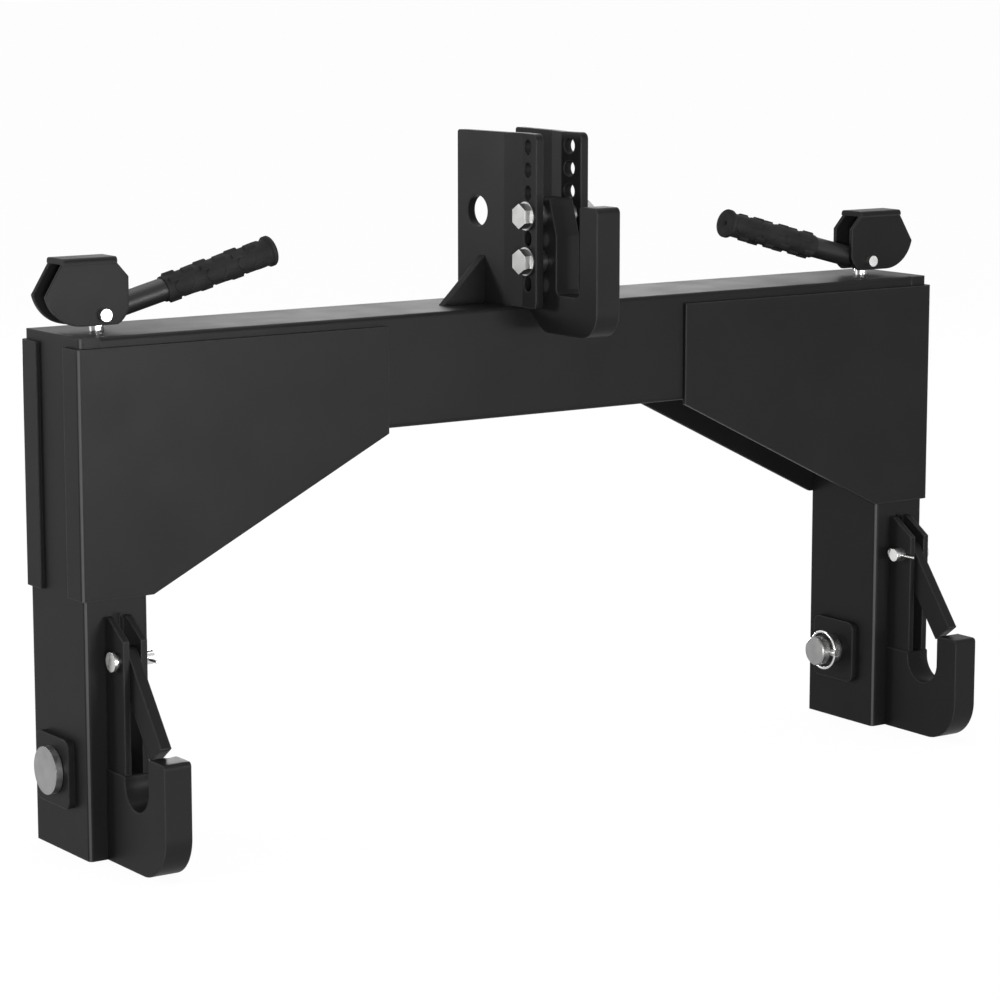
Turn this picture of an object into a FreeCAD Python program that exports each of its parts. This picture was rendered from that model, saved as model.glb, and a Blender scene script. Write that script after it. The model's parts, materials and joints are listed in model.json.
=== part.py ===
# Three-point quick hitch, category 1: a folded steel frame with one fixed top hook and two latched
# lower hooks. Millimetres, +Z up. X = 0 is the centre plane, the side toward the implement is -Y and
# Z = 0 is the bottom of the legs. Pieces are drawn with Y = 0 on the front face of the legs, and
# are then moved so that the origin is in the middle of the overall depth. Everything on the +X side
# is built once and mirrored for the -X side.
import os
import math
import FreeCAD, Part
from FreeCAD import Vector as V

# Frame
PIN_SPACING = 683.0        # centre to centre of the two legs and lower hooks
LEG_WIDTH = 46.8
LEG_DEPTH = 75.4
FRAME_HEIGHT = 349.4
BEAM_HEIGHT = 78.3
SHEET = 5.0                # wall of the folded leg and beam channels
BEND = 3.0                 # outer bend radius
CORNER_STRIP = 15.0        # strip of leg web that runs up past the end of the beam

# Corner gussets
GUSSET_SHEET = 3.0
GUSSET_TOP_DROP = 7.0      # below the beam's top face
GUSSET_INNER_X = 129.0
GUSSET_INNER_DROP = 2.8    # below the beam's bottom face
GUSSET_TOE = 3.1           # toe of the slanting edge, inboard of the leg's inner face
GUSSET_BOTTOM = 176.2
GUSSET_FLANGE = 21.5

# Mast for the top link
MAST_SHEET = 6.2
MAST_REAR_Y = 61.3
MAST_BEND_Y = 10.2         # from here the plate runs in more steeply
MAST_FOLD_Y = -6.9         # from here the front strip flares out again
MAST_FRONT_Y = -26.8
MAST_GAP_REAR = 44.2       # clear widths at those four places, for the top link ball at the rear
MAST_GAP_BEND = 35.2
MAST_GAP_FOLD = 27.4       # and for the top hook at the front
MAST_GAP_FRONT = 32.2
MAST_HEIGHT = 121.8
MAST_CORNER = 4.5          # front corners
MAST_REAR_CORNER = 2.3
LINK_HOLE = 22.2
LINK_HOLE_Y = 39.2
LINK_HOLE_UP = 65.1        # above the beam's top face
ROW_COUNT = 7
ROW_PITCH = 15.875
ROW_FIRST_UP = 17.0        # lowest hole above the beam's top face
ROW_Y = -14.9
BOLT_ROWS = (1, 3)         # rows that carry the two bolts, counted from the lowest
BRACE_SHEET = 6.2
BRACE_REACH = 35.0
BRACE_RISE = 34.1
BRACE_Y = 31.6

# Bolts through the top hook, M10
BOLT_D = 10.0
BOLT_HOLE = 11.0
HEX_FLATS = 15.4
HEAD_H = 5.4
NUT_H = 8.2
BOLT_PAST_NUT = 2.6
WASHER_D = 20.0
WASHER_T = 1.0             # thin side; the washer is bevelled to the plate's slope
SPACER_D = 17.0

# Top hook
TOP_HOOK_T = 19.6
TOP_HOOK_FRONT = -81.2
TOP_HOOK_ARM = 20.1        # thickness of the front arm
TOP_HOOK_MOUTH = 27.5
TOP_HOOK_REAR = -3.0
TOP_HOOK_BOTTOM_DROP = 17.4
TOP_HOOK_HEEL_Y = -20.0
TOP_HOOK_HEEL_UP = 13.4     # rise of the slope behind the heel
TOP_HOOK_HEEL_R = 14.0
TOP_HOOK_FLOOR_UP = 10.2
TOP_HOOK_TIP_UP = 73.4
TOP_HOOK_KNEE_UP = 51.0
TOP_HOOK_BACK_UP = 76.6
TOP_HOOK_LEAN = 8.2

# Lower hooks, ears and latch fingers
HOOK_T = 20.0
HOOK_FRONT = -79.0
HOOK_MOUTH = 33.0
HOOK_MOUTH_REAR = -25.0
HOOK_SEAT_Z = 41.4         # lowest point of the seat
HOOK_TIP_Z = 80.0
HOOK_SHOULDER_Z = 62.0
HOOK_NOSE_R = 29.5
EAR_T = 4.5
EAR_GAP = 8.8
EAR_FRONT = -24.6
EAR_TOP = 164.6
EAR_CHAMFER = (20.2, 13.0)
SLOT_TOP = 166.2
FINGER_T = 7.8
FINGER_W = 18.5
FINGER_PIVOT = (-14.5, 137.2)
FINGER_REACH = 70.2
FINGER_ANGLE = 52.9        # below horizontal, toward the front, latch closed
FINGER_SWING = 34.0        # degrees from closed to open
TAIL_W = 16.0
LATCH_PIN_D = 9.5
LATCH_HEAD_D = 13.2
LATCH_HEAD_T = 2.2
LATCH_STANDOFF = 2.0
LATCH_PIN_PAST = 8.5       # end of the pin beyond the inner ear
RUN_FIT = 0.08             # radial play of a turning pin
COTTER_D = 1.8
COTTER_FRONT = 17.0        # reach of the cotter legs in front of the pin axis
COTTER_EYE_R = 2.8
COTTER_FROM_EAR = 3.3

# Lower hitch pins
PIN_D = 22.4
PIN_Y = 42.3
PIN_Z = 55.5
PIN_HEAD_D = 32.6
PIN_HEAD_T = 5.0
PIN_CHAMFER = 1.0
PIN_PAST_LEG = 24.1        # free end beyond the leg's inner face
DOUBLER = (46.0, 47.5)     # Y and Z
DOUBLER_T = 5.0
DOUBLER_R = 6.0
LINCH_FROM_END = 9.0
LINCH_PEG_D = 4.4
LINCH_HEAD_D = 6.0
LINCH_EYE_D = 2.8
LINCH_PEG_PAST = 1.6       # beyond the hitch pin's far side
LINCH_WIRE_D = 2.0
LINCH_RING_R = 14.4
SIDE_GAP = 0.35            # between pieces that move past each other

# Release rods, springs and cam handles
ROD_D = 10.2
ROD_INBOARD = 9.5          # from the leg's centre plane toward the frame's centre
ROD_Y = 38.6
ROD_HOLE = 11.0
EYE_R = 8.0
EYE_T = 10.2
CAM_PIVOT_UP = 11.0        # above the beam's top face
CAM_PIN_D = 8.4
CAM_PIN_LENGTH = 29.6
CAM_SHEET = 3.0
TUBE_D = 15.8
CAM_LOBE = (-16.0, 19.9)   # centre of the cheeks' round lobe, from the pivot; X grows toward the grip
CAM_LOBE_R = 26.7
CAM_LOBE_END = 193.0       # degrees round the lobe from the grip's side, where its arc ends
CAM_SHOULDER_Z = 34.3      # underside of the top plate
CAM_BACK_X = -29.4
CAM_TOP_X = 10.2
CAM_MOUTH = (18.8, 3.6, 24.6)  # X of the grip-side edge with its lowest and highest points
CAM_FLAT_X = 10.6          # where the flat lower edge ends
CAM_TOP_LIP = 1.0          # the top plate overhangs the cheeks
CAM_TOP_T = 3.9
HANDLE_ANGLE = 14.5
TUBE_START = 11.5
TUBE_END = 134.0
TUBE_WALL = 2.5
GRIP_START = 52.0
GRIP_END = 138.5
GRIP_D = 18.0
GRIP_FLANGE_D = 21.4
GRIP_FLANGE_T = 3.0
GRIP_VENT_D = 3.2
CROSS_PIN_D = 7.0
CROSS_PIN_HEAD_D = 11.0
CROSS_PIN_HEAD_T = 2.2
CROSS_PIN_PAST = 3.4
CROSS_PIN_PLAY = 0.4
SPRING_SEAT_DROP = 78.0    # spring seat below the beam's underside
SPRING_SEAT_D = 15.6
SPRING_SEAT_T = 3.0
SPRING_WIRE = 1.8
SPRING_TURNS = 9
SPRING_STEPS = 14          # straight steps in each turn of the coil

# Derived places
LEG_X = PIN_SPACING / 2
LEG_OUT = LEG_X + LEG_WIDTH / 2
LEG_IN = LEG_X - LEG_WIDTH / 2
BEAM_BOTTOM = FRAME_HEIGHT - BEAM_HEIGHT
HEAD_SEAT = MAST_GAP_FRONT / 2 + MAST_SHEET + WASHER_T
PIN_END_X = LEG_IN - PIN_PAST_LEG
LINCH_X = PIN_END_X + LINCH_FROM_END
ROD_X = LEG_X - ROD_INBOARD
EAR_OUT = EAR_GAP / 2 + EAR_T
CAM_PIVOT_Z = FRAME_HEIGHT + CAM_PIVOT_UP
TAIL_ANGLE = FINGER_SWING / 2
TAIL_RUN = ROD_Y - FINGER_PIVOT[0]
TAIL_REACH = TAIL_RUN / math.cos(math.radians(TAIL_ANGLE))
ROD_FOOT_Z = FINGER_PIVOT[1] - TAIL_RUN * math.tan(math.radians(TAIL_ANGLE))
SPRING_SEAT_Z = BEAM_BOTTOM - SPRING_SEAT_DROP
MIDDLE_Y = (TOP_HOOK_FRONT + LEG_DEPTH + GUSSET_SHEET) / 2


def box(x0, x1, y0, y1, z0, z1):
    return Part.makeBox(x1 - x0, y1 - y0, z1 - z0, V(x0, y0, z0))


def rod(d, length, start, axis):
    return Part.makeCylinder(d / 2, length, start, axis)


def plate_yz(points, x0, x1):
    """A flat plate with its outline in the YZ plane, from x0 to x1."""
    wire = Part.makePolygon([V(x0, y, z) for y, z in points + points[:1]])
    return Part.Face(wire).extrude(V(x1 - x0, 0, 0))


def plate_xz(points, y0, y1):
    """A flat plate with its outline in the XZ plane, from y0 to y1."""
    wire = Part.makePolygon([V(x, y0, z) for x, z in points + points[:1]])
    return Part.Face(wire).extrude(V(0, y1 - y0, 0))


def plate_xy(points, z0, z1):
    """A plate folded along Z, with its section in the XY plane, from z0 to z1."""
    wire = Part.makePolygon([V(x, y, z0) for x, y in points + points[:1]])
    return Part.Face(wire).extrude(V(0, 0, z1 - z0))


def arc_point(centre, r, degrees):
    a = math.radians(degrees)
    return centre[0] + r * math.cos(a), centre[1] + r * math.sin(a)


def outline_xz(y, *steps):
    """A closed wire at one Y. Each step is the next corner, or an arc as (place on it, its end)."""
    def at(place):
        return V(place[0], y, place[1])
    edges = []
    last = first = steps[0]
    for step in steps[1:] + (first,):
        if isinstance(step[0], tuple):
            edges.append(Part.Arc(at(last), at(step[0]), at(step[1])).toShape())
            last = step[1]
        elif step != last:
            edges.append(Part.makeLine(at(last), at(step)))
            last = step
    return Part.Wire(edges)


def wire_ring(r, wire_d, centre, axis):
    """A closed ring of wire; its section has eight sides, which keeps its mesh small."""
    if axis.x:
        across, along = V(0, 1, 0), V(1, 0, 0)
    else:
        across, along = V(1, 0, 0), axis
    start = [arc_point((r, 0), wire_d / 2, a) for a in range(0, 360, 45)]
    points = [centre + across * u + along * v for u, v in start]
    return Part.Face(Part.makePolygon(points + points[:1])).revolve(centre, axis, 360)


def edges_at(shape, axis, *places):
    """The straight edges along one axis that pass through the given places in the other two."""
    found = []
    for edge in shape.Edges:
        if len(edge.Vertexes) != 2:
            continue
        a, b = [(p.Point.x, p.Point.y, p.Point.z) for p in edge.Vertexes]
        others = [i for i in range(3) if i != axis]
        if any(abs(a[i] - b[i]) > 1e-4 for i in others):
            continue
        for place in places:
            if all(abs(a[i] - place[k]) < 0.02 for k, i in enumerate(others)):
                found.append(edge)
    return found


def hexagon(flats, length, start):
    """A hexagonal head along X with two of its points up and down."""
    r = flats / math.sqrt(3)
    points = [(start.y + r * math.sin(math.radians(a)), start.z + r * math.cos(math.radians(a)))
              for a in range(0, 360, 60)]
    return plate_yz(points, start.x, start.x + length)


def crossbeam():
    """Folded channel, open to the rear, that closes the tops of both legs."""
    end = LEG_OUT - SHEET
    beam = box(-end, end, 0, LEG_DEPTH, BEAM_BOTTOM, FRAME_HEIGHT)
    beam = beam.makeFillet(BEND, edges_at(beam, 0, (0, FRAME_HEIGHT), (0, BEAM_BOTTOM)))
    beam = beam.cut(box(-end, end, SHEET, LEG_DEPTH, BEAM_BOTTOM + SHEET, FRAME_HEIGHT - SHEET))
    strip = LEG_OUT - CORNER_STRIP
    for side in (-1, 1):
        x0, x1 = sorted((side * strip, side * end))
        beam = beam.cut(box(x0, x1, 0, SHEET, BEAM_BOTTOM, FRAME_HEIGHT))
        beam = beam.cut(rod(ROD_HOLE, BEAM_HEIGHT, V(side * ROD_X, ROD_Y, BEAM_BOTTOM), V(0, 0, 1)))
    return beam


def leg():
    """Folded channel, open to the rear; only its outer corner runs up past the end of the beam."""
    shape = box(LEG_IN, LEG_OUT, 0, LEG_DEPTH, 0, FRAME_HEIGHT)
    shape = shape.makeFillet(BEND, edges_at(shape, 2, (LEG_IN, 0), (LEG_OUT, 0)))
    shape = shape.cut(box(LEG_IN + SHEET, LEG_OUT - SHEET, SHEET, LEG_DEPTH, 0, FRAME_HEIGHT))
    shape = shape.cut(box(LEG_IN, LEG_OUT - CORNER_STRIP, 0, LEG_DEPTH, BEAM_BOTTOM, FRAME_HEIGHT))
    shape = shape.cut(rod(PIN_D + 2 * RUN_FIT, LEG_WIDTH, V(LEG_IN, PIN_Y, PIN_Z), V(1, 0, 0)))
    shape = shape.cut(box(LEG_X - EAR_GAP / 2, LEG_X + EAR_GAP / 2, 0, SHEET,
                          HOOK_SHOULDER_Z, SLOT_TOP - EAR_GAP / 2))
    return shape.cut(rod(EAR_GAP, SHEET, V(LEG_X, 0, SLOT_TOP - EAR_GAP / 2), V(0, 1, 0)))


def gusset(face_y, way):
    """Corner plate welded to beam and leg, with its outer edge folded round the leg's side."""
    outer = LEG_OUT + GUSSET_SHEET
    top = FRAME_HEIGHT - GUSSET_TOP_DROP
    outline = [(GUSSET_INNER_X, top), (GUSSET_INNER_X, BEAM_BOTTOM - GUSSET_INNER_DROP),
               (LEG_IN - GUSSET_TOE, GUSSET_BOTTOM), (outer, GUSSET_BOTTOM), (outer, top)]
    y0, y1 = sorted((face_y, face_y + way * GUSSET_FLANGE))
    shape = plate_xz(outline, y0, y1)
    shape = shape.makeFillet(GUSSET_SHEET, edges_at(shape, 2, (outer, face_y)))
    y0, y1 = sorted((face_y + way * GUSSET_SHEET, face_y + way * GUSSET_FLANGE))
    return shape.cut(box(0, LEG_OUT, y0, y1, 0, FRAME_HEIGHT))


def front_gusset():
    return gusset(-GUSSET_SHEET, 1)


def rear_gusset():
    return gusset(LEG_DEPTH + GUSSET_SHEET, -1)


def row_z(row):
    return FRAME_HEIGHT + ROW_FIRST_UP + row * ROW_PITCH


def mast_half_gap(y):
    """Inner face of the mast plate at one Y, from the centre plane."""
    ys = (MAST_FRONT_Y, MAST_FOLD_Y, MAST_BEND_Y, MAST_REAR_Y)
    gaps = (MAST_GAP_FRONT, MAST_GAP_FOLD, MAST_GAP_BEND, MAST_GAP_REAR)
    for i in range(3):
        if y <= ys[i + 1]:
            share = (y - ys[i]) / (ys[i + 1] - ys[i])
            return (gaps[i] + share * (gaps[i + 1] - gaps[i])) / 2
    return gaps[3] / 2


def mast_blank():
    """The folded mast plate before its corners are rounded and its holes are cut."""
    inner = [(mast_half_gap(y), y) for y in (MAST_FRONT_Y, MAST_FOLD_Y, MAST_BEND_Y, MAST_REAR_Y)]
    outer = [(x + MAST_SHEET, y) for x, y in reversed(inner)]
    return plate_xy(inner + outer, FRAME_HEIGHT, FRAME_HEIGHT + MAST_HEIGHT)


def mast_plate():
    """Upright plate on the beam, folded in toward the front where it holds the top hook."""
    top = FRAME_HEIGHT + MAST_HEIGHT
    reach = MAST_GAP_REAR / 2 + MAST_SHEET
    corners = box(0, reach, MAST_FRONT_Y, MAST_REAR_Y, FRAME_HEIGHT, top)
    corners = corners.makeFillet(MAST_CORNER, edges_at(corners, 0, (MAST_FRONT_Y, top),
                                                       (MAST_FRONT_Y, FRAME_HEIGHT)))
    corners = corners.makeFillet(MAST_REAR_CORNER, edges_at(corners, 0, (MAST_REAR_Y, top)))
    shape = mast_blank().common(corners)
    shape = shape.cut(rod(LINK_HOLE, reach, V(0, LINK_HOLE_Y, FRAME_HEIGHT + LINK_HOLE_UP), V(1, 0, 0)))
    for row in range(ROW_COUNT):
        shape = shape.cut(rod(BOLT_HOLE, reach, V(0, ROW_Y, row_z(row)), V(1, 0, 0)))
    return shape


def mast_brace():
    """Triangular rib between the mast plate and the top of the beam."""
    base = FRAME_HEIGHT
    root = mast_half_gap(BRACE_Y) + MAST_SHEET / 2
    toe = root + MAST_SHEET / 2 + BRACE_REACH
    rise = BRACE_RISE * (toe - root) / BRACE_REACH
    shape = plate_xz([(root, base), (toe, base), (root, base + rise)], BRACE_Y, BRACE_Y + BRACE_SHEET)
    return shape.cut(mast_blank())


def top_hook():
    """Thick J-shaped plate between the mast plates, open at the top."""
    z = FRAME_HEIGHT
    seat = z + TOP_HOOK_FLOOR_UP
    bottom = z - TOP_HOOK_BOTTOM_DROP
    arm = TOP_HOOK_FRONT + TOP_HOOK_ARM
    back = arm + TOP_HOOK_MOUTH
    points = [(TOP_HOOK_FRONT, bottom), (TOP_HOOK_FRONT, z + TOP_HOOK_TIP_UP), (arm, z + TOP_HOOK_TIP_UP),
              (arm, seat), (back, seat), (back, z + TOP_HOOK_KNEE_UP),
              (back + TOP_HOOK_LEAN, z + TOP_HOOK_BACK_UP), (TOP_HOOK_REAR, z + TOP_HOOK_BACK_UP),
              (TOP_HOOK_REAR, bottom + TOP_HOOK_HEEL_UP), (TOP_HOOK_HEEL_Y, bottom)]
    half = TOP_HOOK_T / 2
    shape = plate_yz(points, -half, half)
    shape = shape.makeFillet(18.0, edges_at(shape, 0, (TOP_HOOK_FRONT, bottom)))
    shape = shape.makeFillet(TOP_HOOK_HEEL_R, edges_at(shape, 0, (TOP_HOOK_HEEL_Y, bottom)))
    shape = shape.makeFillet(4.0, edges_at(shape, 0, (TOP_HOOK_FRONT, z + TOP_HOOK_TIP_UP), (arm, seat),
                                           (back, seat)))
    shape = shape.makeFillet(2.5, edges_at(shape, 0, (arm, z + TOP_HOOK_TIP_UP),
                                           (back + TOP_HOOK_LEAN, z + TOP_HOOK_BACK_UP)))
    for row in BOLT_ROWS:
        shape = shape.cut(rod(BOLT_HOLE, TOP_HOOK_T, V(-half, ROW_Y, row_z(row)), V(1, 0, 0)))
    return shape


def hook_bolt(row):
    """Hexagon bolt through both mast plates and the top hook; its head is on the -X side."""
    z = row_z(row)
    end = HEAD_SEAT + NUT_H + BOLT_PAST_NUT
    head = hexagon(HEX_FLATS, HEAD_H, V(-HEAD_SEAT - HEAD_H, ROW_Y, z))
    return head.fuse(rod(BOLT_D, end + HEAD_SEAT, V(-HEAD_SEAT, ROW_Y, z), V(1, 0, 0)))


def hook_nut(row):
    start = V(HEAD_SEAT, ROW_Y, row_z(row))
    return hexagon(HEX_FLATS, NUT_H, start).cut(rod(BOLT_D, NUT_H, start, V(1, 0, 0)))


def fitted_ring(outer, x0, x1, row, side):
    """A ring round the bolt with one face bevelled to lie on the mast plate."""
    start = V(x0, ROW_Y, row_z(row))
    shape = rod(outer, x1 - x0, start, V(1, 0, 0)).cut(rod(BOLT_D, x1 - x0, start, V(1, 0, 0)))
    shape = shape.cut(mast_blank())
    return shape if side > 0 else shape.mirror(V(0, 0, 0), V(1, 0, 0))


def hook_washer(row, side):
    inside_plate = mast_half_gap(MAST_FOLD_Y) + MAST_SHEET / 2
    return fitted_ring(WASHER_D, inside_plate, HEAD_SEAT, row, side)


def hook_spacer(row, side):
    """Sleeve that fills the space between the mast plate and the top hook."""
    inside_plate = mast_half_gap(MAST_FRONT_Y) + MAST_SHEET / 4
    return fitted_ring(SPACER_D, TOP_HOOK_T / 2, inside_plate, row, side)


def doubler(x0):
    """Rounded reinforcing plate welded on the leg round the lower hitch pin."""
    y0, z0 = PIN_Y - DOUBLER[0] / 2, PIN_Z - DOUBLER[1] / 2
    y1, z1 = y0 + DOUBLER[0], z0 + DOUBLER[1]
    shape = box(x0, x0 + DOUBLER_T, y0, y1, z0, z1)
    shape = shape.makeFillet(DOUBLER_R, edges_at(shape, 0, (y0, z0), (y0, z1), (y1, z0), (y1, z1)))
    return shape.cut(rod(PIN_D + 2 * RUN_FIT, DOUBLER_T, V(x0, PIN_Y, PIN_Z), V(1, 0, 0)))


def outer_doubler():
    return doubler(LEG_OUT)


def inner_doubler():
    return doubler(LEG_IN - DOUBLER_T)


def lower_hook():
    """J-shaped block welded on the leg, with a round seat for the implement's lower pin."""
    r = HOOK_MOUTH / 2
    arm = HOOK_MOUTH_REAR - HOOK_MOUTH
    x0, x1 = LEG_X - HOOK_T / 2, LEG_X + HOOK_T / 2
    seat = HOOK_SEAT_Z + r
    points = [(0, 0), (HOOK_FRONT, 0), (HOOK_FRONT, HOOK_TIP_Z), (arm, HOOK_TIP_Z), (arm, seat),
              (HOOK_MOUTH_REAR, seat), (HOOK_MOUTH_REAR, HOOK_SHOULDER_Z), (0, HOOK_SHOULDER_Z)]
    shape = plate_yz(points, x0, x1)
    shape = shape.makeFillet(HOOK_NOSE_R, edges_at(shape, 0, (HOOK_FRONT, 0)))
    shape = shape.makeFillet(3.0, edges_at(shape, 0, (HOOK_FRONT, HOOK_TIP_Z)))
    shape = shape.makeFillet(1.5, edges_at(shape, 0, (arm, HOOK_TIP_Z), (HOOK_MOUTH_REAR, HOOK_SHOULDER_Z)))
    return shape.cut(rod(HOOK_MOUTH, HOOK_T, V(x0, HOOK_MOUTH_REAR - r, seat), V(1, 0, 0)))


def ear(x0):
    """Flat plate standing on the hook's shoulder; two of them carry the latch pin."""
    run, drop = EAR_CHAMFER
    points = [(0, HOOK_SHOULDER_Z), (EAR_FRONT, HOOK_SHOULDER_Z), (EAR_FRONT, EAR_TOP - drop),
              (EAR_FRONT + run, EAR_TOP), (0, EAR_TOP)]
    shape = plate_yz(points, x0, x0 + EAR_T)
    return shape.cut(rod(LATCH_PIN_D, EAR_T, V(x0, *FINGER_PIVOT), V(1, 0, 0)))


def outer_ear():
    return ear(LEG_X + EAR_GAP / 2)


def inner_ear():
    return ear(LEG_X - EAR_OUT)


def bar(length, width, degrees, x0, x1):
    """A straight bar from the finger's pivot, turned in the YZ plane from +Y toward +Z."""
    y, z = FINGER_PIVOT
    shape = box(x0, x1, y, y + length, z - width / 2, z + width / 2)
    shape.rotate(V(0, y, z), V(1, 0, 0), degrees)
    return shape


def latch_finger():
    """Bell crank between the ears: a square-ended bar over the hook mouth and a slotted tail."""
    x0, x1 = LEG_X - FINGER_T / 2, LEG_X + FINGER_T / 2
    pivot = V(x0, *FINGER_PIVOT)
    along = V(1, 0, 0)
    blade = bar(FINGER_REACH, FINGER_W, 180 + FINGER_ANGLE, x0, x1)
    blade = blade.fuse(rod(FINGER_W, FINGER_T, pivot, along))
    tail = bar(TAIL_REACH, TAIL_W, -TAIL_ANGLE, x0, x1)
    tip = V(x0, ROD_Y, ROD_FOOT_Z)
    tail = tail.fuse(rod(TAIL_W, FINGER_T, tip, along))
    shape = blade.fuse(tail).removeSplitter()
    slot_d = CROSS_PIN_D + 2 * CROSS_PIN_PLAY
    near = TAIL_RUN - TAIL_REACH
    slot = box(x0, x1, ROD_Y + near, ROD_Y, ROD_FOOT_Z - slot_d / 2, ROD_FOOT_Z + slot_d / 2)
    slot = slot.fuse(rod(slot_d, FINGER_T, V(x0, ROD_Y + near, ROD_FOOT_Z), along))
    slot = slot.fuse(rod(slot_d, FINGER_T, tip, along))
    slot.rotate(tip, along, -TAIL_ANGLE)
    return shape.cut(slot).cut(rod(LATCH_PIN_D + 2 * RUN_FIT, FINGER_T, pivot, along))


def latch_pin():
    """Headed pin through both ears; the head is outboard and the cotter inboard."""
    y, z = FINGER_PIVOT
    under_head = LEG_X + EAR_OUT + LATCH_STANDOFF
    start = LEG_X - EAR_OUT - LATCH_PIN_PAST
    shape = rod(LATCH_PIN_D, under_head - start, V(start, y, z), V(1, 0, 0))
    shape = shape.fuse(rod(LATCH_HEAD_D, LATCH_HEAD_T, V(under_head, y, z), V(1, 0, 0)))
    return shape.cut(rod(COTTER_D, LATCH_PIN_D * 2, V(cotter_x(), y + LATCH_PIN_D, z), V(0, -1, 0)))


def cotter_x():
    return LEG_X - EAR_OUT - COTTER_FROM_EAR


def cotter():
    """Split pin: one straight double leg through the latch pin and a round eye behind it."""
    y, z = FINGER_PIVOT
    x = cotter_x()
    eye_y = y + LATCH_PIN_D / 2 + COTTER_EYE_R + COTTER_D / 2
    leg_end = y - COTTER_FRONT
    wire = rod(COTTER_D, eye_y - COTTER_EYE_R - leg_end, V(x, leg_end, z), V(0, 1, 0))
    eye = wire_ring(COTTER_EYE_R, COTTER_D, V(x, eye_y, z), V(1, 0, 0))
    return wire.fuse(eye)


def lower_pin():
    """Headed hitch pin across the leg, for the ball of the tractor's lower link."""
    head = LEG_OUT + DOUBLER_T + SIDE_GAP
    shape = rod(PIN_D, head - PIN_END_X, V(PIN_END_X, PIN_Y, PIN_Z), V(1, 0, 0))
    rim = [edge for edge in shape.Edges if edge.Closed and abs(edge.CenterOfMass.x - PIN_END_X) < 0.01]
    shape = shape.makeChamfer(PIN_CHAMFER, rim)
    cap = rod(PIN_HEAD_D, PIN_HEAD_T, V(head, PIN_Y, PIN_Z), V(1, 0, 0))
    return shape.fuse(cap).cut(rod(LINCH_PEG_D, PIN_D, V(LINCH_X, PIN_Y - PIN_D / 2, PIN_Z), V(0, 1, 0)))


def linch_peg():
    """Headed peg through the hitch pin; its head is the eye that the ring turns in."""
    under_head = PIN_Y - PIN_D / 2
    peg = rod(LINCH_PEG_D, PIN_D + LINCH_PEG_PAST, V(LINCH_X, under_head, PIN_Z), V(0, 1, 0))
    eye_y = PIN_Y - LINCH_RING_R
    head_y = eye_y - LINCH_HEAD_D / 2
    head = rod(LINCH_HEAD_D, under_head - head_y, V(LINCH_X, head_y, PIN_Z), V(0, 1, 0))
    eye = rod(LINCH_EYE_D, LINCH_HEAD_D, V(LINCH_X, eye_y, PIN_Z - LINCH_HEAD_D / 2), V(0, 0, 1))
    return peg.fuse(head).cut(eye)


def linch_ring():
    """Wire ring through the peg's head and round the hitch pin's end."""
    return wire_ring(LINCH_RING_R, LINCH_WIRE_D, V(LINCH_X, PIN_Y, PIN_Z), V(1, 0, 0))


def release_rod():
    """Round rod with an eye at each end and a turned seat for the spring."""
    z0, z1 = ROD_FOOT_Z, CAM_PIVOT_Z
    up = V(0, 0, 1)
    shape = rod(ROD_D, z1 - z0, V(ROD_X, ROD_Y, z0), up)
    top = rod(2 * EYE_R, EYE_T, V(ROD_X, ROD_Y - EYE_T / 2, z1), V(0, 1, 0))
    foot = rod(2 * EYE_R, EYE_T, V(ROD_X - EYE_T / 2, ROD_Y, z0), V(1, 0, 0))
    seat = rod(SPRING_SEAT_D, SPRING_SEAT_T, V(ROD_X, ROD_Y, SPRING_SEAT_Z - SPRING_SEAT_T), up)
    shape = shape.fuse([top, foot, seat])
    shape = shape.cut(rod(CAM_PIN_D + 2 * RUN_FIT, EYE_T, V(ROD_X, ROD_Y - EYE_T / 2, z1), V(0, 1, 0)))
    return shape.cut(rod(CROSS_PIN_D, EYE_T, V(ROD_X - EYE_T / 2, ROD_Y, z0), V(1, 0, 0)))


def cross_pin():
    """Headed pin through the rod's lower eye and the slot in the latch finger's tail."""
    head = ROD_X - EYE_T / 2 - CROSS_PIN_HEAD_T
    end = LEG_X + FINGER_T / 2 + CROSS_PIN_PAST
    shape = rod(CROSS_PIN_HEAD_D, CROSS_PIN_HEAD_T, V(head, ROD_Y, ROD_FOOT_Z), V(1, 0, 0))
    return shape.fuse(rod(CROSS_PIN_D, end - head, V(head, ROD_Y, ROD_FOOT_Z), V(1, 0, 0)))


def rod_spring():
    """Compression spring between the beam's underside and the rod's seat, with a six-sided wire."""
    steps = SPRING_STEPS * SPRING_TURNS
    rise = BEAM_BOTTOM - SPRING_SEAT_Z - SPRING_WIRE
    r = (SPRING_SEAT_D - SPRING_WIRE) / 2
    sections = []
    for i in range(steps + 1):
        turn = math.radians(360 * i / SPRING_STEPS)
        out = V(math.cos(turn), math.sin(turn), 0)
        centre = V(ROD_X, ROD_Y, SPRING_SEAT_Z + SPRING_WIRE / 2 + rise * i / steps) + out * r
        flat = [arc_point((0, 0), SPRING_WIRE / 2, a) for a in range(30, 390, 60)]
        points = [centre + out * u + V(0, 0, v) for u, v in flat]
        sections.append(Part.makePolygon(points + points[:1]))
    return Part.makeLoft(sections, True, True)


def cam_point(x, z):
    """A place on the handle, from the pivot; x is positive toward the grip (toward the centre)."""
    return ROD_X - x, CAM_PIVOT_Z + z


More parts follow.
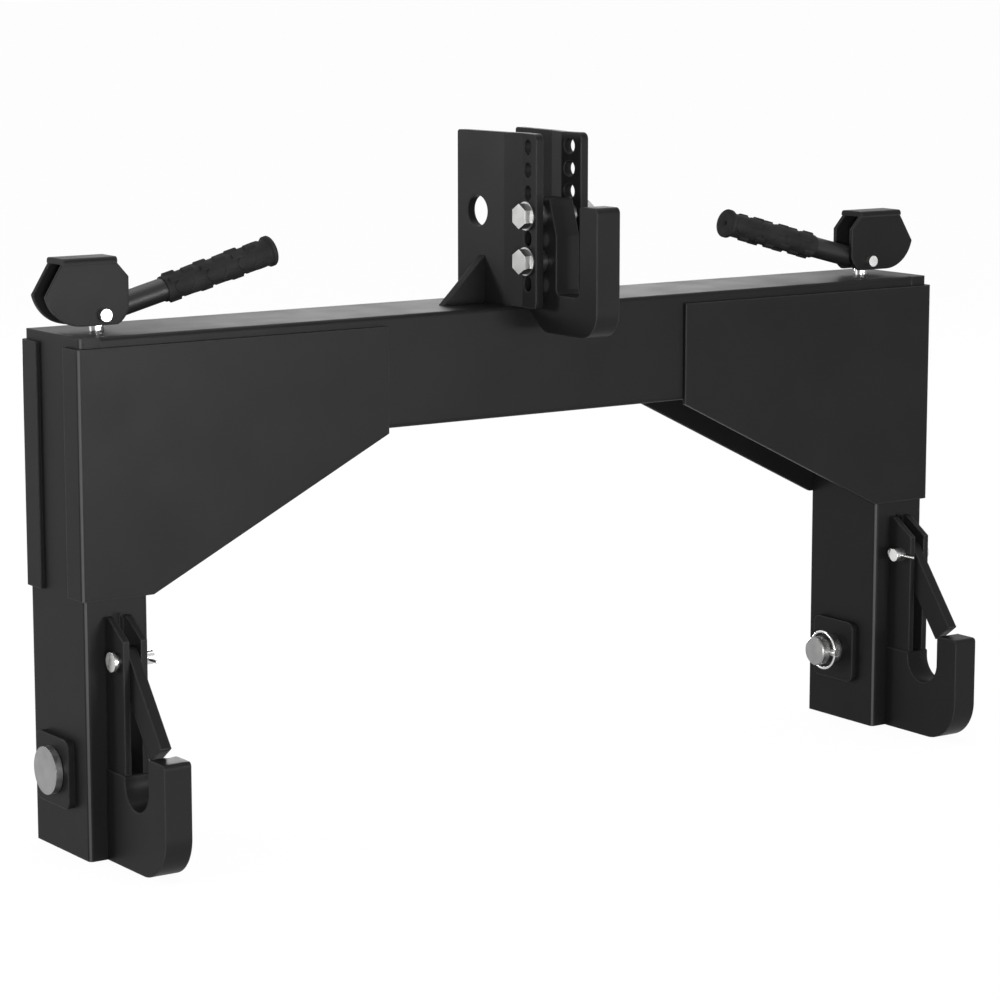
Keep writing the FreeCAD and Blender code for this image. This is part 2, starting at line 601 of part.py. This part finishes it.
def cam_outline(y):
    """Outline of a cheek: flat lower edge, round lobe at the back and a slant at each end."""
    x1, low, high = CAM_MOUTH
    lobe = [arc_point(CAM_LOBE, CAM_LOBE_R, a) for a in (CAM_LOBE_END, (CAM_LOBE_END + 270) / 2, 270)]
    flat = lobe[2][1]
    corner = ((CAM_FLAT_X + x1) / 2 + 1.0, (flat + low) / 2 - 0.8)
    places = [(CAM_BACK_X, CAM_SHOULDER_Z), lobe[0], (lobe[1], lobe[2]), (CAM_FLAT_X, flat),
              (corner, (x1, low)), (x1, high), (CAM_TOP_X, CAM_SHOULDER_Z)]
    steps = [tuple(cam_point(*q) for q in p) if isinstance(p[0], tuple) else cam_point(*p) for p in places]
    return outline_xz(y, *steps)


def cam_housing():
    """Folded cover with two cheeks whose lower edges are the cam, bearing on the beam."""
    half = TUBE_D / 2 + CAM_SHEET
    shape = Part.Face(cam_outline(ROD_Y - half)).extrude(V(0, 2 * half, 0))
    x0, z0 = cam_point(CAM_TOP_X, CAM_SHOULDER_Z)
    x1 = cam_point(CAM_BACK_X, 0)[0]
    y0, y1, top = ROD_Y - half - CAM_TOP_LIP, ROD_Y + half + CAM_TOP_LIP, z0 + CAM_TOP_T
    cover = box(x0, x1, y0, y1, z0, top)
    cover = cover.makeFillet(CAM_TOP_T * 0.7, edges_at(cover, 0, (y0, top), (y1, top)))
    inside = box(ROD_X - 60, ROD_X + 60, ROD_Y - TUBE_D / 2, ROD_Y + TUBE_D / 2, FRAME_HEIGHT, z0)
    shape = shape.cut(inside).fuse(cover)
    return shape.cut(rod(CAM_PIN_D, 2 * half, V(ROD_X, ROD_Y - half, CAM_PIVOT_Z), V(0, 1, 0)))


def cam_pin():
    """Plain pin fixed in the cheeks, turning in the rod's upper eye."""
    return rod(CAM_PIN_D, CAM_PIN_LENGTH, V(ROD_X, ROD_Y - CAM_PIN_LENGTH / 2, CAM_PIVOT_Z), V(0, 1, 0))


def along_handle(distance):
    a = math.radians(HANDLE_ANGLE)
    x, z = cam_point(distance * math.cos(a), distance * math.sin(a))
    return V(x, ROD_Y, z)


def sleeve(outer, inner, start, end):
    """A round sleeve on the handle's axis between two distances from the pivot."""
    axis = along_handle(1) - along_handle(0)
    shape = rod(outer, end - start, along_handle(start), axis)
    return shape.cut(rod(inner, end - start, along_handle(start), axis)) if inner else shape


def handle_tube():
    return sleeve(TUBE_D, TUBE_D - 2 * TUBE_WALL, TUBE_START, TUBE_END)


def handle_grip():
    """Rubber grip pushed on the tube, with a flange and a closed, vented end."""
    shape = sleeve(GRIP_D, 0, GRIP_START, GRIP_END)
    shape = shape.fuse(sleeve(GRIP_FLANGE_D, 0, GRIP_END - GRIP_FLANGE_T, GRIP_END))
    shape = shape.cut(sleeve(TUBE_D, 0, GRIP_START, TUBE_END))
    return shape.cut(sleeve(GRIP_VENT_D, 0, TUBE_END, GRIP_END))


def save(name, shape):
    if not shape.isValid():
        raise RuntimeError(name + " is not a valid solid")
    if len(shape.Solids) != 1:
        raise RuntimeError(name + " is in " + str(len(shape.Solids)) + " pieces")
    solid = shape.Solids[0].translated(V(0, -MIDDLE_Y, 0))
    solid.exportStep("parts/" + name + ".step")


def save_pair(name, shape):
    save("right_" + name, shape)
    save("left_" + name, shape.mirror(V(0, 0, 0), V(1, 0, 0)))


def main():
    os.makedirs("parts", exist_ok=True)
    save("crossbeam", crossbeam())
    save("top_hook", top_hook())
    for label, row in zip(("lower", "upper"), BOLT_ROWS):
        save(label + "_hook_bolt", hook_bolt(row))
        save(label + "_hook_nut", hook_nut(row))
        for side, word in ((-1, "left"), (1, "right")):
            save(label + "_" + word + "_washer", hook_washer(row, side))
            save(label + "_" + word + "_spacer", hook_spacer(row, side))
    pairs = (leg, front_gusset, rear_gusset, mast_plate, mast_brace, outer_doubler, inner_doubler,
             lower_hook, outer_ear, inner_ear, latch_finger, latch_pin, cotter, lower_pin, linch_peg,
             linch_ring, release_rod, cross_pin, rod_spring, cam_housing, cam_pin, handle_tube,
             handle_grip)
    for make in pairs:
        save_pair(make.__name__, make())


main()
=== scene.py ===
import json
import math

import bmesh
import bpy
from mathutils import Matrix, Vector

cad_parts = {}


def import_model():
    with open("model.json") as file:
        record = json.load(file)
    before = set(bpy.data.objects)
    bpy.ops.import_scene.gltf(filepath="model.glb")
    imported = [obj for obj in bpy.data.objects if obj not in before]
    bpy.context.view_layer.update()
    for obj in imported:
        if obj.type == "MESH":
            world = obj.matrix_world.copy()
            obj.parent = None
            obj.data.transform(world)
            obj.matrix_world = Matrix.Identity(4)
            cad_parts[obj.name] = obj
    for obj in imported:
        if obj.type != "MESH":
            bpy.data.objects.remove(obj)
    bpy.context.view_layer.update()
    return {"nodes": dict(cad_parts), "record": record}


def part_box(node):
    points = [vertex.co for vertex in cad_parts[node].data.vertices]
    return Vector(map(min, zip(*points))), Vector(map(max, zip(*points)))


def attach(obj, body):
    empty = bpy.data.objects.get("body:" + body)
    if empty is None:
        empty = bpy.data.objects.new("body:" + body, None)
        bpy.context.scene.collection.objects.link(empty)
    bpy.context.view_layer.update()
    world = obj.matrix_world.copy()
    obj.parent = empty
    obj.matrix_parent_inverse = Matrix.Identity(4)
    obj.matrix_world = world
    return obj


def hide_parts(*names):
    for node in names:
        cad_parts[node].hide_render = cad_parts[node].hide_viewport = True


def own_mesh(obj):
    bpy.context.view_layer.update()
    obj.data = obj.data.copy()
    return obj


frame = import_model()
scene = bpy.context.scene
NODES = frame["nodes"]
SIDES = ("left", "right")

# Colours of the paint, the metals and the rubber
PAINT_GREY = (0.006, 0.006, 0.0063)
PAINT_DARK = (0.0055, 0.0055, 0.0058)
PAINT_LIGHT = (0.0064, 0.0064, 0.0067)
# Painted highlight: a lighter grey on every edge of the paint
EDGE_HIGHLIGHT_GREY = (0.030, 0.030, 0.031)
# Painted highlight: a lighter grey on the upright bends of folded sheet
BEND_HIGHLIGHT_GREY = (0.038, 0.038, 0.039)
BRIGHT_GREY = (0.60, 0.60, 0.59)
PLATED_GREY = (0.28, 0.28, 0.276)
PIN_GREY = (0.24, 0.24, 0.238)
RUBBER_GREY = (0.011, 0.011, 0.012)
RUBBER_DARK = (0.007, 0.007, 0.0074)
RUBBER_LIGHT = (0.010, 0.010, 0.0104)
STEEL_SHADE = 0.86             # darkest mottling of a metal, as a share of its colour

# Gloss
PAINT_ROUGH = 0.40
PAINT_ROUGH_SPREAD = 0.02
PAINT_SHINE = 0.055            # specular level of the frame's paint
TUBE_SHINE = 0.22              # and of the handle tubes'
STEEL_ROUGH = 0.3
RUBBER_ROUGH = 0.62
RUBBER_SHINE = 0.06

# Edge rounding in the shading, in metres, and its ranges as masks: for the painted highlights on
# edges and bends, and for the mottling
PAINT_ROUNDING = 0.0018
STEEL_ROUNDING = 0.0003
BEVEL_SAMPLES = 4
EDGE_RANGE = (0.76, 0.95)      # cosine between the rounded and the true normal
BEND_RANGE = (0.36, 0.46)      # product of the normal's X and Y; 0.5 is halfway
MOTTLE_RANGE = (0.35, 0.65)    # middle of the noise


# Materials
def new_material(name, base, metallic, roughness, **sockets):
    """A Principled material, returned with its shader."""
    mat = bpy.data.materials.new(name)
    mat.use_nodes = True
    shader = mat.node_tree.nodes["Principled BSDF"]
    shader.inputs["Base Color"].default_value = (*base, 1)
    shader.inputs["Metallic"].default_value = metallic
    shader.inputs["Roughness"].default_value = roughness
    for key, value in sockets.items():
        shader.inputs[key.replace("_", " ")].default_value = value
    return mat, shader


def add(owner, kind, **values):
    """A new node for a material or a world, with values for its inputs or its own settings."""
    node = owner.node_tree.nodes.new(kind)
    for key, value in values.items():
        if key in node.inputs:
            node.inputs[key].default_value = value
        else:
            setattr(node, key, value)
    return node


def join(owner, out, into):
    owner.node_tree.links.new(out, into)


def math_node(owner, operation, *terms):
    """Result of a Math node; a term is another node's output or a plain number."""
    node = add(owner, "ShaderNodeMath", operation=operation)
    for into, term in zip(node.inputs, terms):
        if isinstance(term, (int, float)):
            into.default_value = term
        else:
            join(owner, term, into)
    return node.outputs["Value"]


def noise(mat, scale, detail=3.0, stretch=None):
    """Noise in the object's own space, in units of one over metres."""
    place = add(mat, "ShaderNodeTexCoord")
    source = place.outputs["Object"]
    if stretch:
        mapping = add(mat, "ShaderNodeMapping", Scale=stretch)
        join(mat, source, mapping.inputs["Vector"])
        source = mapping.outputs["Vector"]
    tex = add(mat, "ShaderNodeTexNoise", Scale=scale, Detail=detail)
    join(mat, source, tex.inputs["Vector"])
    return tex.outputs["Fac"]


def ramp(mat, value, low, high, span=MOTTLE_RANGE):
    """A ramp from low to high over the span of the value: low and high are greys or colours."""
    node = add(mat, "ShaderNodeValToRGB")
    for end, position, tone in zip(node.color_ramp.elements, span, (low, high)):
        end.position = position
        end.color = (*tone, 1) if isinstance(tone, tuple) else (tone, tone, tone, 1)
    join(mat, value, node.inputs["Fac"])
    return node.outputs["Color"]


def bump(mat, height, strength, distance, normal=None):
    node = add(mat, "ShaderNodeBump", Strength=strength, Distance=distance)
    join(mat, height, node.inputs["Height"])
    if normal is not None:
        join(mat, normal, node.inputs["Normal"])
    return node.outputs["Normal"]


def rounded(mat, radius):
    """Normals that round every sharp edge off by the radius, in metres."""
    node = add(mat, "ShaderNodeBevel", samples=BEVEL_SAMPLES, Radius=radius)
    return node.outputs["Normal"]


def edges(mat, normal):
    """1 along a piece's edges, where the rounded normal leaves the face's own, and 0 on faces:
    the mask of the painted edge highlight.
    """
    face = add(mat, "ShaderNodeNewGeometry")
    along = add(mat, "ShaderNodeVectorMath", operation="DOT_PRODUCT")
    join(mat, normal, along.inputs[0])
    join(mat, face.outputs["True Normal"], along.inputs[1])
    return ramp(mat, along.outputs["Value"], 1.0, 0.0, EDGE_RANGE)


def upright_bends(mat):
    """1 on upright bends of folded sheet, which face halfway between X and Y, and 0 elsewhere:
    the mask of the painted bend highlight.
    """
    place = add(mat, "ShaderNodeTexCoord")
    parts = add(mat, "ShaderNodeSeparateXYZ")
    join(mat, place.outputs["Normal"], parts.inputs["Vector"])
    both = math_node(mat, "MULTIPLY", parts.outputs["X"], parts.outputs["Y"])
    return ramp(mat, math_node(mat, "ABSOLUTE", both), 0.0, 1.0, BEND_RANGE)


def blend(mat, share, first, grey):
    """The first colour, and a grey where the share is 1."""
    mix = add(mat, "ShaderNodeMix", data_type="RGBA")
    join(mat, share, mix.inputs["Factor"])
    join(mat, first, mix.inputs[6])
    mix.inputs[7].default_value = (*grey, 1)
    return mix.outputs[2]


def black_paint(name, shine, folded=False):
    """Satin black powder coat: faint mottling, a fine grain, and a painted highlight, a lighter
    grey, on the edges and, on folded sheet, on the upright bends."""
    mat, shader = new_material(name, PAINT_GREY, 0.0, PAINT_ROUGH, Specular_IOR_Level=shine)
    colour = ramp(mat, noise(mat, scale=14.0), PAINT_DARK, PAINT_LIGHT)
    round_normal = rounded(mat, PAINT_ROUNDING)
    # Painted highlight: a lighter grey along every edge
    colour = blend(mat, edges(mat, round_normal), colour, EDGE_HIGHLIGHT_GREY)
    # Painted highlight: a lighter grey on the upright bends of folded sheet
    if folded:
        colour = blend(mat, upright_bends(mat), colour, BEND_HIGHLIGHT_GREY)
    join(mat, colour, shader.inputs["Base Color"])
    gloss = ramp(mat, noise(mat, scale=35.0, detail=5.0),
                 PAINT_ROUGH - PAINT_ROUGH_SPREAD, PAINT_ROUGH + PAINT_ROUGH_SPREAD)
    join(mat, gloss, shader.inputs["Roughness"])
    skin = bump(mat, noise(mat, scale=700.0, detail=2.0), strength=0.10, distance=0.0004,
                normal=round_normal)
    join(mat, skin, shader.inputs["Normal"])
    return mat


def steel(name, base, smoothest, roughest):
    """Plated steel with a fine drawn grain."""
    mat, shader = new_material(name, base, 1.0, STEEL_ROUGH)
    darker = tuple(STEEL_SHADE * c for c in base)
    colour = ramp(mat, noise(mat, scale=60.0, detail=4.0), darker, base)
    join(mat, colour, shader.inputs["Base Color"])
    gloss = ramp(mat, noise(mat, scale=150.0, detail=4.0), smoothest, roughest)
    join(mat, gloss, shader.inputs["Roughness"])
    drawn = noise(mat, scale=900.0, detail=2.0, stretch=(1.0, 0.12, 0.12))
    grain = bump(mat, drawn, strength=0.06, distance=0.0002, normal=rounded(mat, STEEL_ROUNDING))
    join(mat, grain, shader.inputs["Normal"])
    return mat


def rubber():
    """Matt moulded rubber with a fine grain."""
    mat, shader = new_material("black_rubber", RUBBER_GREY, 0.0, RUBBER_ROUGH,
                               Specular_IOR_Level=RUBBER_SHINE)
    colour = ramp(mat, noise(mat, scale=60.0), RUBBER_DARK, RUBBER_LIGHT)
    join(mat, colour, shader.inputs["Base Color"])
    gloss = ramp(mat, noise(mat, scale=90.0, detail=4.0), low=0.55, high=0.70)
    join(mat, gloss, shader.inputs["Roughness"])
    grain = bump(mat, noise(mat, scale=1800.0), strength=0.2, distance=0.0003)
    join(mat, grain, shader.inputs["Normal"])
    return mat


PAINT = black_paint("black_powder_coat", PAINT_SHINE)
# Paint with a painted highlight on the upright bends, for the legs and the front gussets
PAINT_WITH_BEND_HIGHLIGHT = black_paint("powder_coat_painted_bend_highlight", PAINT_SHINE, folded=True)
TUBE_PAINT = black_paint("handle_powder_coat", TUBE_SHINE)
STEEL = steel("bright_steel", BRIGHT_GREY, smoothest=0.24, roughest=0.36)
PLATED = steel("plated_steel", PLATED_GREY, smoothest=0.30, roughest=0.38)
PIN_STEEL = steel("pin_steel", PIN_GREY, smoothest=0.34, roughest=0.46)
RUBBER = rubber()
BY_SLOT = {
    "black_paint": PAINT,
    "bright_steel": STEEL,
    "plated_steel": PLATED,
    "grip_rubber": RUBBER,
}
BY_PIECE = {
    "_lower_pin": PIN_STEEL,
    "_handle_tube": TUBE_PAINT,
    "_leg": PAINT_WITH_BEND_HIGHLIGHT,
    "_front_gusset": PAINT_WITH_BEND_HIGHLIGHT,
}


def dress(obj, mat):
    if not obj.material_slots:
        obj.data.materials.append(mat)
    for slot in obj.material_slots:
        slot.link = "OBJECT"
        slot.material = mat


for part in frame["record"]["subparts"]:
    dress(NODES[part["node"]], BY_SLOT[part["material_slot"]])
for side in SIDES:
    for piece_name, mat in BY_PIECE.items():
        dress(NODES[side + piece_name], mat)


# Pieces that stand for plain CAD ones
def mesh_object(name, bm, mat, smooth=True):
    bmesh.ops.recalc_face_normals(bm, faces=bm.faces)
    mesh = bpy.data.meshes.new(name)
    bm.to_mesh(mesh)
    bm.free()
    obj = bpy.data.objects.new(name, mesh)
    scene.collection.objects.link(obj)
    obj.data.materials.append(mat)
    if smooth:
        for face in mesh.polygons:
            face.use_smooth = True
    return obj


def rings(bm, rows, closed_ends=(True, True)):
    """Skin over rows of points, each a closed ring of the same count."""
    verts = [[bm.verts.new(p) for p in row] for row in rows]
    count = len(verts[0])
    for a, b in zip(verts, verts[1:]):
        for i in range(count):
            j = (i + 1) % count
            bm.faces.new((a[i], a[j], b[j], b[i]))
    for end, close in zip((verts[0], verts[-1]), closed_ends):
        if close:
            bm.faces.new(end)


# The handle's axis, as in the CAD: pivot of the right cam in metres, angle in degrees
CAM_PIVOT = (0.332, 0.040, 0.3604)
HANDLE_ANGLE = 14.5
GRIP_START = 0.052             # from the pivot to the grip's mouth

# The grip, in mm
GRIP_LENGTH = 86.5
GRIP_R = 8.85
GRIP_FLANGE_T = 3.0
# Radii at the mouth and at the flange, with their places along the grip
MOUTH_PROFILE = ((0.0, 8.05), (0.0, 8.5), (0.35, 8.85))
FLANGE_START = GRIP_LENGTH - GRIP_FLANGE_T
BODY_START = 0.6               # the patterned rows lie between these two
BODY_END = FLANGE_START - 1.0
FLANGE_PROFILE = (
    (FLANGE_START - 0.5, 9.2), (FLANGE_START - 0.1, 10.4), (FLANGE_START + 0.3, 10.7),
    (GRIP_LENGTH - 0.5, 10.7), (GRIP_LENGTH, 10.3),
)
VENT_PROFILE = ((GRIP_LENGTH, 1.8), (GRIP_LENGTH - 0.3, 1.5), (GRIP_LENGTH - 4.5, 1.5))
GRIP_TURNS = 120               # points round the grip
GRIP_STEPS = 250               # rows along it
GRIP_TWIST = -0.33             # radians by which the pattern is turned on the right tube

# Raised pattern on the grip: half sizes, heights and pitch in mm
PATTERN_R = 8.9                # radius at which angles turn into lengths
GRIP_PITCH = 24.9
PATTERN_COUNT = 4              # repeats along the grip
PAD_LONG, PAD_WIDE, PAD_POINT, PAD_HEIGHT = 4.1, 1.9, 2.2, 1.45
PAD_EDGE = 0.3
PAD_FIRST = 7.0
PAD_END_CLEAR = 9
PAD_ROWS = ((0.0, 0.5), (0.48, 0.0), (-0.48, 0.0))    # angle, and shift in pitches
PAD_NEAR_ANGLE = 0.5
PAD_NEAR_LENGTH = 5
OVAL_LONG, OVAL_WIDE, OVAL_HEIGHT = 7.4, 5.2, 0.8
OVAL_EDGE = 0.35
OVAL_FIRST = 8.0
OVAL_END_CLEAR = 8
OVAL_ROWS = ((0.37, 0.69), (-0.37, 0.19))


def smooth_step(x):
    """Smooth step from 0 to 1 over 0..1."""
    x = min(1.0, max(0.0, x))
    return x * x * (3 - 2 * x)


def pad(u, v):
    """Share of a raised pad's height at u, v from its middle: a hexagon with points along u."""
    inside = min(PAD_WIDE - abs(v), (PAD_LONG - abs(u)) * PAD_WIDE / PAD_POINT)
    return smooth_step(inside / PAD_EDGE + 0.5)


def oval(u, v):
    """Share of a raised oval's height at u, v from its middle."""
    r = math.hypot(u / OVAL_LONG, v / OVAL_WIDE)
    return smooth_step((1 - r) * min(OVAL_LONG, OVAL_WIDE) / OVAL_EDGE + 0.5)


def grip_height(s, angle):
    """Height of the moulded pattern at s along the grip and at an angle round it from the top."""
    height = 0.0
    for way in (0.0, math.pi):
        for offset, shift in PAD_ROWS:
            a = math.remainder(angle - way - offset, 2 * math.pi)
            if abs(a) > PAD_NEAR_ANGLE:
                continue
            for k in range(PATTERN_COUNT):
                middle = PAD_FIRST + (k + shift) * GRIP_PITCH
                near = abs(s - middle) < PAD_NEAR_LENGTH
                if near and middle < GRIP_LENGTH - PAD_END_CLEAR:
                    height = max(height, PAD_HEIGHT * pad(s - middle, a * PATTERN_R))
    for way in (math.pi / 2, -math.pi / 2):
        for offset, shift in OVAL_ROWS:
            a = math.remainder(angle - way - offset, 2 * math.pi)
            for k in range(PATTERN_COUNT):
                middle = OVAL_FIRST + (k + shift) * GRIP_PITCH
                if middle < GRIP_LENGTH - OVAL_END_CLEAR:
                    height = max(height, OVAL_HEIGHT * oval(s - middle, a * PATTERN_R))
    return height


def grip(side):
    """Rubber grip on the handle's axis, with raised pads, an end flange and a vent hole."""
    k = 1 if side == "right" else -1
    lean = math.radians(HANDLE_ANGLE)
    pivot = Vector((k * CAM_PIVOT[0], *CAM_PIVOT[1:]))
    along = Vector((-k * math.cos(lean), 0, math.sin(lean)))
    up = Vector((k * math.sin(lean), 0, math.cos(lean)))
    across = Vector((0, -1, 0))
    twist = GRIP_TWIST * k

    def ring(s, radius):
        """Points round the grip at s, with a radius in mm that may change with the angle."""
        base = pivot + along * (GRIP_START + s / 1000)
        row = []
        for i in range(GRIP_TURNS):
            a = 2 * math.pi * i / GRIP_TURNS
            r = radius(a) if callable(radius) else radius
            row.append(base + (up * math.cos(a) + across * math.sin(a)) * (r / 1000))
        return row

    rows = [ring(s, r) for s, r in MOUTH_PROFILE]
    for n in range(1, GRIP_STEPS):
        s = BODY_START + (BODY_END - BODY_START) * n / GRIP_STEPS
        rows.append(ring(s, lambda a, s=s: GRIP_R + grip_height(s, a - twist)))
    rows += [ring(s, r) for s, r in FLANGE_PROFILE + VENT_PROFILE]
    bm = bmesh.new()
    rings(bm, rows, (False, True))
    piece = mesh_object(side + "_grip", bm, RUBBER)
    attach(piece, side + "_handle")
    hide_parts(side + "_handle_grip")


def sweep(bm, path, radius, turns, closed=False):
    """A round wire along a path of points, in metres."""
    last = len(path) - 1
    rows = []
    side = None
    for i, place in enumerate(path):
        before = path[i - 1] if closed or i else place
        after = path[(i + 1) % len(path)] if closed or i < last else place
        ahead = (after - before).normalized()
        side = ahead.orthogonal() if side is None else side - ahead * side.dot(ahead)
        side.normalize()
        up = ahead.cross(side)
        rows.append([bm.verts.new(place + (side * math.cos(a) + up * math.sin(a)) * radius)
                     for a in (2 * math.pi * n / turns for n in range(turns))])
    pairs = list(zip(rows, rows[1:])) + ([(rows[-1], rows[0])] if closed else [])
    for a, b in pairs:
        for n in range(turns):
            m = (n + 1) % turns
            bm.faces.new((a[n], a[m], b[m], b[n]))
    if not closed:
        bm.faces.new(rows[0])
        bm.faces.new(rows[-1])


def stand_for(node, bm, mat, body):
    """Show the mesh in the place of a plain CAD node, riding on the node's body."""
    piece = mesh_object(node + "_shown", bm, mat)
    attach(piece, body)
    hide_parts(node)
    return piece


SPRING_WIRE_R = 0.0009
SPRING_TURNS = 9.0
SPRING_STEPS = 32              # points in each turn
SPRING_SIDES = 10              # points round the wire
RING_STEPS = 72
RING_SIDES = 14


def spring(side):
    """Round-wire coil, which the rising rod presses up against the beam."""
    low, high = (Vector(c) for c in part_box(side + "_rod_spring"))
    middle = (low + high) / 2
    r = (high.x - low.x) / 2 - SPRING_WIRE_R
    path = []
    for n in range(int(SPRING_TURNS * SPRING_STEPS) + 1):
        share = n / (SPRING_TURNS * SPRING_STEPS)
        z = low.z + SPRING_WIRE_R + (high.z - low.z - 2 * SPRING_WIRE_R) * share
        a = 2 * math.pi * SPRING_TURNS * share
        path.append(Vector((middle.x + r * math.cos(a), middle.y + r * math.sin(a), z)))
    bm = bmesh.new()
    sweep(bm, path, SPRING_WIRE_R, SPRING_SIDES)
    piece = stand_for(side + "_rod_spring", bm, STEEL, "frame")
    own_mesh(piece)


def circle(centre, r, count):
    """Points of a circle in the plane across X."""
    turns = [2 * math.pi * n / count for n in range(count)]
    return [centre + Vector((0, math.cos(a), math.sin(a))) * r for a in turns]


def linch_ring(side):
    """Smooth wire ring of the linch pin."""
    low, high = (Vector(c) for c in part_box(side + "_linch_ring"))
    wire = (high.x - low.x) / 2
    path = circle((low + high) / 2, (high.z - low.z) / 2 - wire, RING_STEPS)
    bm = bmesh.new()
    sweep(bm, path, wire, RING_SIDES, True)
    stand_for(side + "_linch_ring", bm, STEEL, side + "_ring")


for side in SIDES:
    grip(side)
    spring(side)
    linch_ring(side)


# Floor, light and camera
FLOOR_HALF = 30.0
FLOOR_Z = -0.0005
FLOOR_GREY = (0.86, 0.86, 0.86, 1)
FLOOR_GLOW_SHARE = 0.95        # how much of its white the floor shows to the camera
SKY = (0.97, 0.98, 1.0, 1)
SKY_LEVEL = 0.75
WHITE = (1, 1, 1, 1)
LAMPS = (                      # name, place, target, width in m, power in W
    ("front", (0.62, -2.6, 0.12), (-0.3, 0, 0.15), 0.8, 90.0),
    ("edge", (-1.0, -1.6, 0.3), (-0.2, 0, 0.2), 0.5, 36.0),
    ("left_back", (-2.3, 1.8, 0.7), (0, 0, 0.4), 0.6, 40.0),
    ("ceiling", (0.2, 0.4, 2.4), (0, 0, 0.3), 2.2, 36.0),
    ("back", (1.7, 2.6, 0.85), (0.1, 0, 0.35), 1.2, 6.0),
    ("rear", (1.0, 2.7, 0.12), (0, 0, 0.2), 0.45, 40.0),
)
CAMERA_PLACE = (-1.3592, -1.9095, 0.6013)
CAMERA_PITCH = 0.1657          # radians below level
CAMERA_HEADING = -0.6063
CAMERA_LENS = 119.76
CAMERA_SENSOR = 36.0
CAMERA_FAR = 100.0


def ray_kinds(owner, *names):
    """1 for rays of the named kinds, and 0 for the others."""
    path = add(owner, "ShaderNodeLightPath")
    seen = path.outputs[names[0]]
    for name in names[1:]:
        seen = math_node(owner, "MAXIMUM", seen, path.outputs[name])
    return seen


def shown_as(owner, share, own, seen, kind):
    """An output that shows its own shader, and the seen one for the given share of the rays."""
    mix = add(owner, "ShaderNodeMixShader")
    join(owner, share, mix.inputs["Fac"])
    join(owner, own.outputs[0], mix.inputs[1])
    join(owner, seen.outputs[0], mix.inputs[2])
    join(owner, mix.outputs[0], add(owner, kind).inputs["Surface"])


def floor_material():
    """Pale floor that keeps the shadow and stays near white to the camera and in reflections."""
    mat = bpy.data.materials.new("floor")
    mat.use_nodes = True
    mat.node_tree.nodes.clear()
    seen = ray_kinds(mat, "Is Camera Ray", "Is Glossy Ray")
    share = math_node(mat, "MULTIPLY", seen, FLOOR_GLOW_SHARE)
    diffuse = add(mat, "ShaderNodeBsdfDiffuse", Color=FLOOR_GREY)
    glow = add(mat, "ShaderNodeEmission", Strength=1.0)
    shown_as(mat, share, diffuse, glow, "ShaderNodeOutputMaterial")
    return mat


def floor():
    bm = bmesh.new()
    bmesh.ops.create_grid(bm, x_segments=1, y_segments=1, size=FLOOR_HALF)
    obj = mesh_object("floor", bm, floor_material(), smooth=False)
    obj.location.z = FLOOR_Z


def world():
    """Soft sky light, and plain white behind the object and in its reflections."""
    studio = bpy.data.worlds.new("studio")
    scene.world = studio
    studio.use_nodes = True
    studio.node_tree.nodes.clear()
    seen = ray_kinds(studio, "Is Camera Ray", "Is Glossy Ray", "Is Transmission Ray")
    soft = add(studio, "ShaderNodeBackground", Color=SKY, Strength=SKY_LEVEL)
    white = add(studio, "ShaderNodeBackground", Color=WHITE, Strength=1.0)
    shown_as(studio, seen, soft, white, "ShaderNodeOutputWorld")


def lamp(name, place, target, size, power):
    """A round area lamp that the camera doesn't see."""
    data = bpy.data.lights.new(name, "AREA")
    data.shape = "DISK"
    data.size = size
    data.energy = power
    obj = bpy.data.objects.new(name, data)
    scene.collection.objects.link(obj)
    obj.visible_camera = False
    obj.location = place
    aim = Vector(target) - Vector(place)
    obj.rotation_euler = aim.to_track_quat("-Z", "Y").to_euler()


def camera():
    """The photograph's viewpoint: place, heading and pitch fitted to the object's corners."""
    data = bpy.data.cameras.new("camera")
    data.sensor_width = CAMERA_SENSOR
    data.lens = CAMERA_LENS
    data.clip_end = CAMERA_FAR
    obj = bpy.data.objects.new("camera", data)
    scene.collection.objects.link(obj)
    obj.location = CAMERA_PLACE
    obj.rotation_euler = (math.pi / 2 - CAMERA_PITCH, 0.0, CAMERA_HEADING)
    scene.camera = obj


floor()
world()
for settings in LAMPS:
    lamp(*settings)
camera()

scene.view_settings.view_transform = "Standard"
